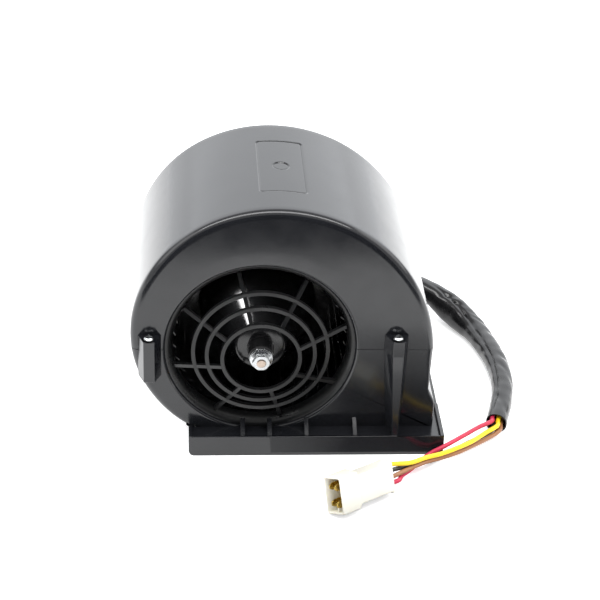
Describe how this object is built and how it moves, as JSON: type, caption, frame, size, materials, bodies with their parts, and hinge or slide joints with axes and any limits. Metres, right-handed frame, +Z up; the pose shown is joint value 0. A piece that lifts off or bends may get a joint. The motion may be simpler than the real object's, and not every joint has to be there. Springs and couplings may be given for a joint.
{
  "type": "dc blower fan",
  "caption": "Double-inlet centrifugal blower in a split volute casing with a bottom outlet flange, enclosed motor, speed resistor and flying lead with connector.",
  "frame": {"origin": "centre of the outlet flange's lower face", "axes": "+Z up, out of the flange towards the wheel; Y is the wheel's axis and -Y is the side with the nut and grille; +X is the side the volute opens out to"},
  "size_m": [0.2625, 0.261, 0.1748],
  "materials": {
    "black_casing": "satin gloss",
    "black_wheel": "satin",
    "zinc_steel": "bright zinc",
    "motor_steel": "zinc plated sheet",
    "ferrite": "matt",
    "sintered_bronze": "oiled, matt",
    "brown_laminate": "matt",
    "contact_brass": "bright",
    "copper": "enamelled",
    "rubber_black": "matt",
    "ceramic_cream": "matt",
    "resistance_wire": "drawn",
    "shaft_steel": "ground",
    "core_steel": "laminated",
    "carbon": "matt",
    "spring_steel": "drawn",
    "sleeve_vinyl": "soft vinyl, satin",
    "lead_red": "soft vinyl",
    "lead_yellow": "soft vinyl",
    "lead_brown": "soft vinyl",
    "lead_black": "soft vinyl",
    "connector_ivory": "satin"
  },
  "bodies": {
    "housing": {"upper_casing": "black_casing", "lower_casing": "black_casing", "front_inlet_grille": "black_casing", "rear_inlet_mount": "black_casing", "casing_screws": "zinc_steel", "motor_yoke": "motor_steel", "field_magnets": "ferrite", "magnet_clips": "zinc_steel", "front_bearing": "sintered_bronze", "rear_bearing": "sintered_bronze", "bearing_retainers": "zinc_steel", "motor_end_cap": "motor_steel", "brush_card": "brown_laminate", "brush_holders": "contact_brass", "choke_coils": "copper", "motor_screws": "zinc_steel", "isolator_ring": "rubber_black", "isolator_bushes": "rubber_black", "resistor_carrier": "ceramic_cream", "resistor_coils": "resistance_wire", "thermal_fuse": "ceramic_cream", "resistor_screws": "zinc_steel", "terminal_cover": "black_casing", "lead_grommet": "rubber_black", "motor_leads": "lead_red", "brush_spring_upper": "spring_steel", "brush_spring_lower": "spring_steel", "lead_sleeve": "sleeve_vinyl", "wire_red": "lead_red", "wire_yellow": "lead_yellow", "wire_brown": "lead_brown", "wire_black": "lead_black", "connector_housing": "connector_ivory", "connector_tabs": "contact_brass", "connector_lock": "connector_ivory"},
    "rotor": {"shaft": "shaft_steel", "armature_core": "core_steel", "armature_windings": "copper", "commutator": "copper", "impeller": "black_wheel", "thrust_washers": "brown_laminate", "hub_washer": "zinc_steel", "flange_nut": "zinc_steel", "balance_clips": "zinc_steel"},
    "brush_a": {"brush_upper": "carbon"},
    "brush_b": {"brush_lower": "carbon"}
  },
  "joints": [
    {"name": "rotor_spin", "type": "hinge", "parent": "housing", "child": "rotor", "pos_m": [-0.038, 0, 0.0741], "axis": [0, 1, 0], "continuous": true},
    {"name": "brush_upper_slide", "type": "slide", "parent": "housing", "child": "brush_a", "axis": [0, 0, 1], "range_m": [0, 0.003], "stiffness_N_per_m": 200, "springref_m": -0.004, "deforming": ["brush_spring_upper"]},
    {"name": "brush_lower_slide", "type": "slide", "parent": "housing", "child": "brush_b", "axis": [0, 0, -1], "range_m": [0, 0.003], "stiffness_N_per_m": 200, "springref_m": -0.004, "deforming": ["brush_spring_lower"]}
  ]
}
